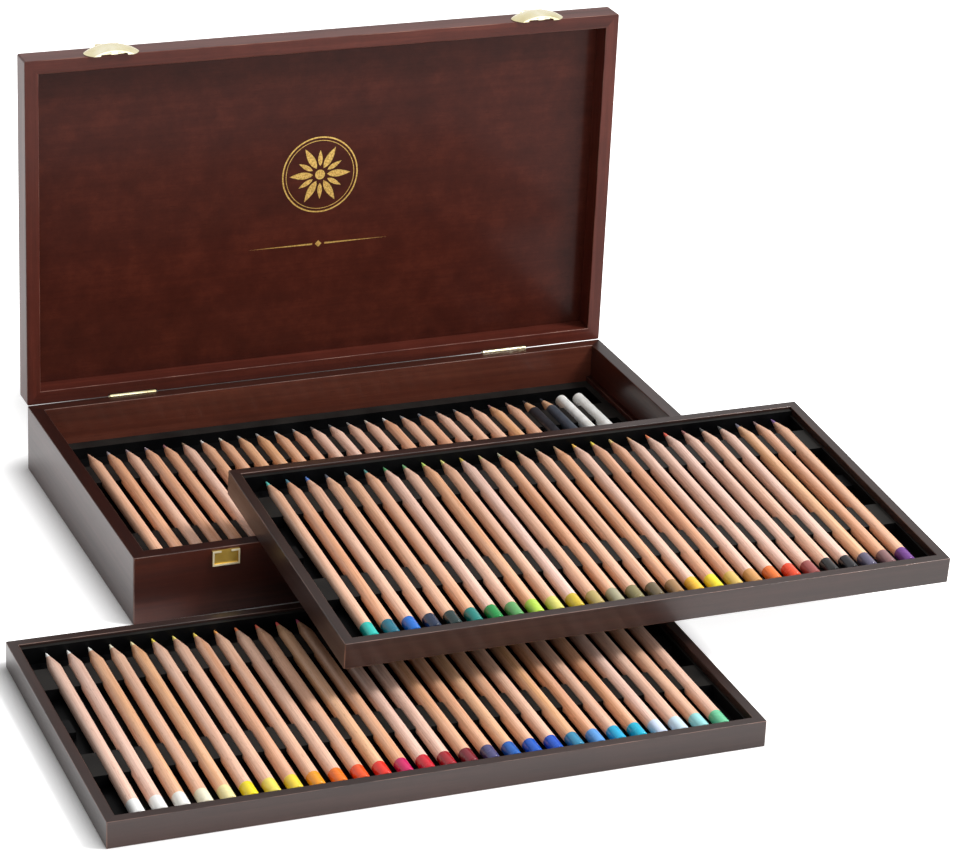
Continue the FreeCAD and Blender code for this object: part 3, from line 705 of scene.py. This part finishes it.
roll = put(
    row_tree, "FunctionNodeRandomValue", {2: 0.0, 3: 2 * math.pi, "ID": counted, "Seed": given["Seed"]},
    data_type="FLOAT",
).outputs[1]
roll_turn = put(row_tree, "FunctionNodeAxisAngleToRotation", {"Axis": (0, 1, 0), "Angle": roll}).outputs[0]
copies = put(
    row_tree, "GeometryNodeInstanceOnPoints",
    {"Points": line.outputs[0], "Instance": marked.outputs[0], "Rotation": roll_turn},
)
numbered = put(
    row_tree, "GeometryNodeStoreNamedAttribute",
    {"Geometry": copies.outputs[0], "Name": "pencil_number", "Value": counted},
    data_type="FLOAT", domain="INSTANCE",
)
real = put(row_tree, "GeometryNodeRealizeInstances", {"Geometry": numbered.outputs[0]})
placed = put(
    row_tree, "GeometryNodeTransform",
    {"Geometry": real.outputs[0], "Translation": given["Place"], "Rotation": given["Turn"]},
)
finished = put(
    row_tree, "GeometryNodeSetMaterial",
    {"Geometry": placed.outputs[0], "Material": given["Finish"]},
)
row_tree.links.new(finished.outputs[0], row_tree.nodes.new("NodeGroupOutput").inputs[0])
print("row tree nodes", len(row_tree.nodes))

# %% [markdown]
# ## Cedar
# The barrels are cedar under a thin satin varnish. No two are alike: some are pale and pink, others nearly
# orange, and each has its own fine streaks along its length with a few dark flecks. The noise reads the
# place on the pencil, moved sideways by the pencil's number, so that no two copies are cut from the same
# board. The wood is made lighter towards the butt as a painted sheen, and darker towards the point as
# painted shade.

# %% Cedar finish
BOARD_STEP = 1.7
VARNISH_DEPTH = 0.03 * MM


def pencil_place(tree):
    """Where a point lies on its own pencil, in metres."""
    return put(tree, "ShaderNodeAttribute", attribute_name="pencil_place").outputs["Vector"]


def pencil_number(tree):
    """Which pencil of its row a point belongs to."""
    return put(tree, "ShaderNodeAttribute", attribute_name="pencil_number").outputs["Fac"]


cedar_tree, cedar_in, cedar_out = new_group(
    "cedar_grain", {"Seed": ("value", 0.0), "Light": ("value", 1.0)},
    {"Colour": "colour", "Height": "value", "Flecks": "value"}
)
spot = pencil_place(cedar_tree)
key = reckon(cedar_tree, "MULTIPLY", pencil_number(cedar_tree), BOARD_STEP)
key = reckon(cedar_tree, "ADD", key, cedar_in["Seed"])
chance = put(cedar_tree, "ShaderNodeTexWhiteNoise", {"W": key}, noise_dimensions="1D")
fine = stretched_noise(cedar_tree, spot, (1500, 26, 1500), key, detail=4.0, rough=0.6)
broad = stretched_noise(cedar_tree, spot, (260, 9, 260), key, detail=2.0, rough=0.5)
specks = stretched_noise(cedar_tree, spot, (2400, 210, 2400), key, detail=1.0, rough=0.5)
flecks = stretch(cedar_tree, specks, 0.62, 0.72)
wood = ramp(cedar_tree, chance.outputs["Value"], [
    (0.0, ink(250, 220, 210)), (0.25, ink(246, 208, 186)), (0.5, ink(240, 192, 158)),
    (0.75, ink(236, 180, 142)), (1.0, ink(246, 196, 146)),
])
streak = ramp(cedar_tree, fine, [
    (0.32, ink(176, 124, 92)), (0.5, ink(214, 190, 172)), (0.68, ink(255, 250, 244)),
])
wood = tint(cedar_tree, 0.55, wood, streak, "MULTIPLY")
wood = tint(cedar_tree, stretch(cedar_tree, broad, 0.35, 0.65, 0.0, 0.35), wood, ink(242, 206, 186))
wood = tint(cedar_tree, reckon(cedar_tree, "MULTIPLY", flecks, 0.35), wood, ink(150, 96, 66))
# Painted sheen and shade: lighter at the butt, darker towards the point.
painted_sheen_and_shade = stretch(cedar_tree, parts_of(cedar_tree, spot)["Y"], 0.0, 0.17, 1.12, 0.84)
# A row's painted-light factor scales this colour further.
painted_sheen_and_shade = grey(cedar_tree, reckon(cedar_tree, "MULTIPLY", painted_sheen_and_shade, cedar_in["Light"]))
cedar_tree.links.new(tint(cedar_tree, 1.0, wood, painted_sheen_and_shade, "MULTIPLY"), cedar_out["Colour"])
cedar_tree.links.new(fine, cedar_out["Height"])
cedar_tree.links.new(flecks, cedar_out["Flecks"])


def cedar(name, seed, light):
    """Cedar of one row of pencils under a thin satin varnish."""
    material, tree, shader = new_finish(name)
    grain = use_group(tree, cedar_tree, {"Seed": seed, "Light": light})
    tree.links.new(grain["Colour"], shader["Base Color"])
    tree.links.new(stretch(tree, grain["Flecks"], 0, 1, 0.36, 0.6), shader["Roughness"])
    tree.links.new(bump(tree, grain["Height"], VARNISH_DEPTH, 0.4), shader["Normal"])
    shader["Specular IOR Level"].default_value = 0.55
    return material


print("cedar nodes", len(cedar_tree.nodes))

# %% [markdown]
# ## Colours of each row
# The caps and the points of a row share one list of colours, from left to right. A colour ramp with
# constant steps reads the pencil's number and picks its colour, so one material serves the whole row.

# %% Colour lists
FRONT_COLOURS = [
    (250, 250, 248), (250, 249, 246), (250, 248, 240), (248, 240, 212), (248, 234, 170), (252, 226, 30),
    (250, 228, 96), (250, 218, 60), (250, 160, 30), (250, 122, 22), (244, 84, 26), (234, 46, 30),
    (204, 20, 96), (208, 20, 42), (164, 14, 32), (124, 16, 34), (74, 72, 118), (20, 94, 182),
    (14, 88, 194), (14, 82, 194), (46, 138, 176), (92, 158, 226), (16, 172, 216), (0, 178, 210),
    (216, 228, 250), (210, 234, 246), (156, 222, 222), (112, 204, 156),
]
MIDDLE_COLOURS = [
    (36, 190, 178), (8, 106, 128), (18, 106, 200), (12, 34, 66), (12, 44, 44), (8, 128, 118),
    (8, 142, 62), (92, 162, 92), (186, 224, 76), (222, 216, 110), (210, 182, 46), (186, 164, 98),
    (168, 162, 130), (138, 128, 84), (108, 92, 64), (162, 122, 78), (252, 196, 58), (252, 230, 46),
    (224, 188, 102), (214, 156, 92), (236, 118, 48), (240, 76, 38), (156, 80, 76), (22, 19, 19),
    (22, 20, 26), (94, 88, 112), (136, 98, 98), (112, 56, 138),
]
BASE_COLOURS = [
    (196, 140, 110), (158, 150, 160), (150, 128, 136), (140, 120, 136), (168, 96, 104), (128, 98, 56),
    (232, 230, 226), (230, 224, 208), (150, 146, 140), (176, 174, 172), (206, 206, 204), (130, 130, 132),
    (96, 82, 76), (84, 84, 88), (126, 126, 124), (214, 206, 188), (232, 232, 230), (142, 142, 144),
    (120, 128, 140), (112, 92, 80), (78, 80, 84), (116, 70, 50), (140, 88, 84), (108, 72, 54),
]


def colour_list(name, colours):
    """A group that gives the colour of a pencil by its number."""
    group, _, ends = new_group(name, {}, {"Colour": "colour"})
    number = pencil_number(group)
    part = reckon(group, "DIVIDE", reckon(group, "ADD", number, 0.5), float(len(colours)))
    stops = [(index / len(colours), ink(*colour)) for index, colour in enumerate(colours)]
    group.links.new(ramp(group, part, stops, "CONSTANT"), ends["Colour"])
    return group


lists = {
    "base": colour_list("base_row_colours", BASE_COLOURS),
    "front_tray": colour_list("front_tray_colours", FRONT_COLOURS),
    "middle_tray": colour_list("middle_tray_colours", MIDDLE_COLOURS),
}
print("colours", [len(colours) for colours in (BASE_COLOURS, FRONT_COLOURS, MIDDLE_COLOURS)])

# %% [markdown]
# The caps are dipped lacquer, so they are glossy and a little uneven. The cores are the same colours, but
# waxy and soft, with fine scratches from the sharpener.

# %% Cap and core finishes
RIPPLE_DEPTH = 0.03 * MM

ripple_tree, ripple_in, ripple_out = new_group(
    "lacquer_ripple", {"Scale": ("value", 210.0)}, {"Height": "value"},
)
ripple = clouds(ripple_tree, pencil_place(ripple_tree), ripple_in["Scale"], 1.0)
ripple_tree.links.new(ripple, ripple_out["Height"])

shaving_tree, shaving_in, shaving_out = new_group(
    "sharpener_scratches", {"Seed": ("value", 4.0)}, {"Height": "value"},
)
shaving = stretched_noise(
    shaving_tree, pencil_place(shaving_tree), (900, 5200, 900), shaving_in["Seed"], detail=2.0,
)
shaving_tree.links.new(shaving, shaving_out["Height"])


def cap_lacquer(name, group):
    """Glossy dipped lacquer in the colours of a row."""
    material, tree, shader = new_finish(name)
    colour = use_group(tree, group)["Colour"]
    ripple = use_group(tree, ripple_tree)["Height"]
    dirt = stretch(tree, ripple, 0.3, 0.7, 0.0, 0.06)
    tree.links.new(tint(tree, dirt, colour, ink(20, 16, 16)), shader["Base Color"])
    tree.links.new(stretch(tree, ripple, 0.3, 0.7, 0.2, 0.28), shader["Roughness"])
    tree.links.new(bump(tree, ripple, RIPPLE_DEPTH, 0.25), shader["Normal"])
    shader["Specular IOR Level"].default_value = 0.3
    shader["Coat Weight"].default_value = 0.22
    shader["Coat Roughness"].default_value = 0.08
    return material


def soft_core(name, group):
    """Waxy coloured core in the colours of a row."""
    material, tree, shader = new_finish(name)
    colour = use_group(tree, group)["Colour"]
    shaving = use_group(tree, shaving_tree, {"Seed": 4.0})["Height"]
    scratch = stretch(tree, shaving, 0.3, 0.7, 0.0, 0.25)
    tree.links.new(tint(tree, scratch, colour, ink(240, 236, 230)), shader["Base Color"])
    tree.links.new(stretch(tree, shaving, 0.3, 0.7, 0.45, 0.62), shader["Roughness"])
    tree.links.new(bump(tree, shaving, RIPPLE_DEPTH, 0.5), shader["Normal"])
    return material


print("cap and core recipes ready")

# %% [markdown]
# The graphite pencils have a dull dark lacquer on the barrel, one nearly black and one blue-grey, and a
# bare cone. Where the lacquer stops is a place along the pencil, so the material reads it from there. The
# blending sticks are off-white wax, which lets a little light in, so it gets some subsurface scattering.

# %% Graphite and wax finishes
GRAPHITE_FIRST = 24
STICK_FIRST = 26
WAX_DEPTH = 0.08 * MM

graphite_lacquer, tree, shader = new_finish("graphite_lacquer")
spot = pencil_place(tree)
second = stretch(tree, pencil_number(tree), GRAPHITE_FIRST + 0.2, GRAPHITE_FIRST + 0.8)
paint = tint(tree, second, ink(24, 29, 36), ink(58, 67, 78))
rubs = stretch(tree, clouds(tree, spot, 260.0, 3.0), 0.3, 0.7, 0.0, 0.08)
paint = tint(tree, rubs, paint, ink(150, 156, 164))
bare = stretch(tree, parts_of(tree, spot)["Y"], CONE_START * MM, (CONE_START + 0.15) * MM)
grain = use_group(tree, cedar_tree, {"Seed": 5.0})
cone = tint(tree, 0.5, grain["Colour"], ink(206, 160, 110))
tree.links.new(tint(tree, bare, paint, cone), shader["Base Color"])
tree.links.new(stretch(tree, bare, 0, 1, 0.36, 0.6), shader["Roughness"])
tree.links.new(bump(tree, grain["Height"], VARNISH_DEPTH, 0.3), shader["Normal"])

graphite, tree, shader = new_finish("graphite")
shaving = use_group(tree, shaving_tree, {"Seed": 2.0})["Height"]
tree.links.new(ramp(tree, shaving, [(0.3, ink(44, 45, 48)), (0.7, ink(96, 98, 102))]), shader["Base Color"])
tree.links.new(stretch(tree, shaving, 0.3, 0.7, 0.3, 0.5), shader["Roughness"])
shader["Metallic"].default_value = 0.4

wax, tree, shader = new_finish("blender_wax")
cloud = clouds(tree, pencil_place(tree), 180.0, 4.0)
off_white = ramp(tree, cloud, [(0.3, ink(214, 213, 208)), (0.7, ink(234, 234, 231))])
tree.links.new(off_white, shader["Base Color"])
tree.links.new(stretch(tree, cloud, 0.3, 0.7, 0.42, 0.6), shader["Roughness"])
tree.links.new(bump(tree, cloud, WAX_DEPTH, 0.4), shader["Normal"])
shader["Subsurface Weight"].default_value = 0.15
shader["Subsurface Radius"].default_value = (4.0 * MM, 3.5 * MM, 3.0 * MM)
print("graphite, core and wax ready")

# %% [markdown]
# ## Fill the rows
# Each row stands where the CAD has it. First is the butt of the first pencil in its own case, and Place and
# Turn carry the case to where it lies. The base lies square. The trays are turned a little, and the middle
# one also tilts, because its back rests on the base's rim while its front hangs lower.

# %% Row places
FRONT_TURN = math.radians(-0.94)
MIDDLE_TURN = math.radians(-0.56)
MIDDLE_LEFT = Vector((-119.5, 0, 0))
REST_ALONG = Vector((0, 144.6, 0))
FIRST_IN_TRAY = Vector((20.25, 9.9, 10.0)) * MM
middle_tilt = Matrix.Rotation(MIDDLE_PITCH, 3, "X")
ROWS = {
    "base": {
        "First": Vector((-161.15, -98.35, 16.0)) * MM,
        "Place": Vector((0, 0, 0)),
        "Turn": Euler((0, 0, 0)),
    },
    "front_tray": {
        "First": FIRST_IN_TRAY,
        "Place": Vector((-277.3, -340.95, 0)) * MM,
        "Turn": Euler((0, 0, FRONT_TURN)),
    },
    "middle_tray": {
        "First": FIRST_IN_TRAY,
        "Place": (MIDDLE_REST + MIDDLE_LEFT - middle_tilt @ REST_ALONG) * MM,
        "Turn": (middle_tilt @ Matrix.Rotation(MIDDLE_TURN, 3, "Z")).to_euler(),
    },
}
print("middle tray turn", [round(math.degrees(v), 2) for v in ROWS["middle_tray"]["Turn"]])

# %% [markdown]
# One function lays out one kind of part along a row. The modifier is applied at once, so the piece is left
# as a plain mesh with each pencil's number and place stored on it. It rides on the body of that row's
# pencils, and it takes the place of the CAD node that held the same parts.

# %% Fill one row
ROLL_SEED = 7


def fill_row(row, part, template, start, number, finish):
    """Lay out one kind of part along a row, in place of its CAD node."""
    node = row + "_" + part
    piece = bpy.data.objects.new(node + "_turned", templates[template].copy())
    bpy.context.scene.collection.objects.link(piece)
    layout = piece.modifiers.new("row", "NODES")
    layout.node_group = row_tree
    values = {
        "Count": number, "Start": start, "Pitch": PITCH, "Seed": ROLL_SEED, "Finish": finish, **ROWS[row],
    }
    for socket in row_tree.interface.items_tree:
        if socket.in_out == "INPUT" and socket.name in values:
            layout[socket.identifier] = values[socket.name]
    bpy.context.view_layer.update()
    ready = piece.evaluated_get(bpy.context.evaluated_depsgraph_get())
    mesh = bpy.data.meshes.new_from_object(ready)
    piece.modifiers.remove(layout)
    piece.data = mesh
    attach(piece, row + "_pencils")
    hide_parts(node)
    print(piece.name, "faces", len(mesh.polygons))


print("socket names", [socket.name for socket in row_tree.interface.items_tree])

# %% [markdown]
# Each tray holds 28 coloured pencils. The base holds 24, then the two graphite pencils and the two sticks.
# The base row lies deep in the case, where less light reaches it, and looks as light as the others in the
# photograph, so its cedar is a little lighter.

# %% Lay out every row
COLOURED = {"base": GRAPHITE_FIRST, "front_tray": 28, "middle_tray": 28}
# The base row's cedar is painted lighter to make up for the shade it lies in.
CEDAR_PAINTED_LIGHT = {"base": 1.12, "front_tray": 1.0, "middle_tray": 1.0}
SEED_STEP = 40.0
for index, row in enumerate(ROWS):
    wood = cedar(row + "_cedar", SEED_STEP * index, CEDAR_PAINTED_LIGHT[row])
    core = soft_core(row + "_cores", lists[row])
    lacquer = cap_lacquer(row + "_caps", lists[row])
    fill_row(row, "pencil_barrels", "barrel", 0, COLOURED[row], wood)
    fill_row(row, "pencil_leads", "lead", 0, COLOURED[row], core)
    fill_row(row, "pencil_caps", "cap", 0, COLOURED[row], lacquer)
fill_row("base", "graphite_barrels", "graphite_barrel", GRAPHITE_FIRST, 2,
         graphite_lacquer)
fill_row("base", "graphite_leads", "lead", GRAPHITE_FIRST, 2, graphite)
fill_row("base", "blender_sticks", "stick", STICK_FIRST, 2, wax)

# %% [markdown]
# ## Floor
# A product on white: the table and the background are one white, and only a soft, tight shadow separates
# them. The floor is a plain white diffuse surface. For what the camera and mirrors see it also glows a
# little, which lifts the open floor to paper white. The glow fades out close to the box and the tray, where
# the real table lies in shade. How close a point lies is worked out from its distance to each rectangle
# that stands on it. Behind the open lid hardly any light reaches the table, so the paper is darkened there
# as well. From the front that shows only as the dark line between the lid and the base.

# %% Floor
FLOOR_REACH = 30.0
FLOOR_GLOW = 0.85
PAPER = 0.9
LID_SHADE = 0.22

floor_mesh = bpy.data.meshes.new("floor")
corners = [(x * FLOOR_REACH, y * FLOOR_REACH, 0) for x, y in ((-1, -1), (1, -1), (1, 1), (-1, 1))]
floor_mesh.from_pydata(corners, [], [(0, 1, 2, 3)])
floor = bpy.data.objects.new("floor", floor_mesh)
bpy.context.scene.collection.objects.link(floor)
white_floor = bpy.data.materials.new("white_floor")
white_floor.use_nodes = True
tree = white_floor.node_tree
tree.nodes.clear()


def distance_from(tree, centre, half):
    """How far a point of the floor lies from a rectangle, in metres."""
    kind = "ShaderNodeVectorMath"
    moved = put(tree, kind, {0: object_place(tree), 1: centre}, operation="SUBTRACT").outputs[0]
    size = put(tree, kind, {0: moved}, operation="ABSOLUTE").outputs[0]
    over = put(tree, kind, {0: size, 1: half}, operation="SUBTRACT").outputs[0]
    outside = put(tree, kind, {0: over, 1: (0, 0, 0)}, operation="MAXIMUM").outputs[0]
    return put(tree, kind, {0: outside}, operation="LENGTH").outputs["Value"]


def seen_straight(tree):
    """One for rays of the camera and of mirrors or glass, zero for light that is thrown."""
    rays = put(tree, "ShaderNodeLightPath").outputs
    return reckon(tree, "MAXIMUM", rays["Is Camera Ray"],
                  reckon(tree, "MAXIMUM", rays["Is Glossy Ray"], rays["Is Transmission Ray"]))


near_box = distance_from(tree, (0, 0, 0), (0.188, 0.107, 1))
near_tray = distance_from(tree, (-0.0928, -0.242, 0), (0.18, 0.098, 1))
between = distance_from(tree, (-0.05, -0.125, 0), (0.13, 0.03, 1))
behind_lid = distance_from(tree, (0, 0.17, 0), (0.12, 0.03, 1))
near = reckon(tree, "MINIMUM", reckon(tree, "MINIMUM", near_box, near_tray),
              reckon(tree, "MINIMUM", between, reckon(tree, "MULTIPLY", behind_lid, 0.4)))
glow = stretch(tree, near, 2 * MM, 26 * MM, 0.0, FLOOR_GLOW)
paper = grey(tree, stretch(tree, behind_lid, 0.0, 80 * MM, LID_SHADE, PAPER))
matt = put(tree, "ShaderNodeBsdfDiffuse", {"Color": paper}).outputs[0]
strength = reckon(tree, "MULTIPLY", seen_straight(tree), glow)
shine = put(tree, "ShaderNodeEmission", {"Color": (1, 1, 1, 1), "Strength": strength}).outputs[0]
both = put(tree, "ShaderNodeAddShader", {0: matt, 1: shine}).outputs[0]
put(tree, "ShaderNodeOutputMaterial", {"Surface": both})
floor_mesh.materials.append(white_floor)
print("floor ready")

# %% [markdown]
# ## World and lamps
# To the camera and to mirrors the world is plain white. The light that it throws isn't even: like a light
# tent with one bright side, it is strongest from the right, above and in front, and weak from behind and
# from the left, so round things are shaded from one side to the other. One soft lamp on the bright side
# adds the narrow highlights, and a weaker one in front lights the faces that look at the camera.

# %% World and lamps
BRIGHT_SIDE = Vector((0.55, -0.35, 0.76)).normalized()
WEAK_LIGHT = 0.04
STRONG_LIGHT = 1.15

world = bpy.data.worlds.new("studio")
bpy.context.scene.world = world
world.use_nodes = True
tree = world.node_tree
tree.nodes.clear()
towards = {0: put(tree, "ShaderNodeTexCoord").outputs["Generated"], 1: BRIGHT_SIDE}
bright = put(tree, "ShaderNodeVectorMath", towards, operation="DOT_PRODUCT").outputs["Value"]
thrown = stretch(tree, bright, 0.1, 1.0, WEAK_LIGHT, STRONG_LIGHT)
choice = {0: seen_straight(tree), 2: thrown, 3: 1.0}
strength = put(tree, "ShaderNodeMix", choice, data_type="FLOAT").outputs[0]
sky = put(tree, "ShaderNodeBackground", {"Color": (1, 1, 1, 1), "Strength": strength}).outputs[0]
put(tree, "ShaderNodeOutputWorld", {"Surface": sky})


def soft_lamp(name, place, target, size, power):
    """A square lamp that faces a point."""
    data = bpy.data.lights.new(name, "AREA")
    data.shape = "SQUARE"
    data.size = size
    data.energy = power
    lamp = bpy.data.objects.new(name, data)
    lamp.location = place
    lamp.rotation_euler = (Vector(target) - Vector(place)).to_track_quat("-Z", "Y").to_euler()
    bpy.context.scene.collection.objects.link(lamp)


soft_lamp("bright_lamp", place=(1.5, -0.9, 2.1), target=(0, -0.1, 0), size=0.7, power=60)
soft_lamp("front_lamp", place=(0.3, -2.8, 1.2), target=(0, -0.1, 0.1), size=1.2, power=14)
bpy.context.scene.view_settings.view_transform = "Standard"
print("studio ready")
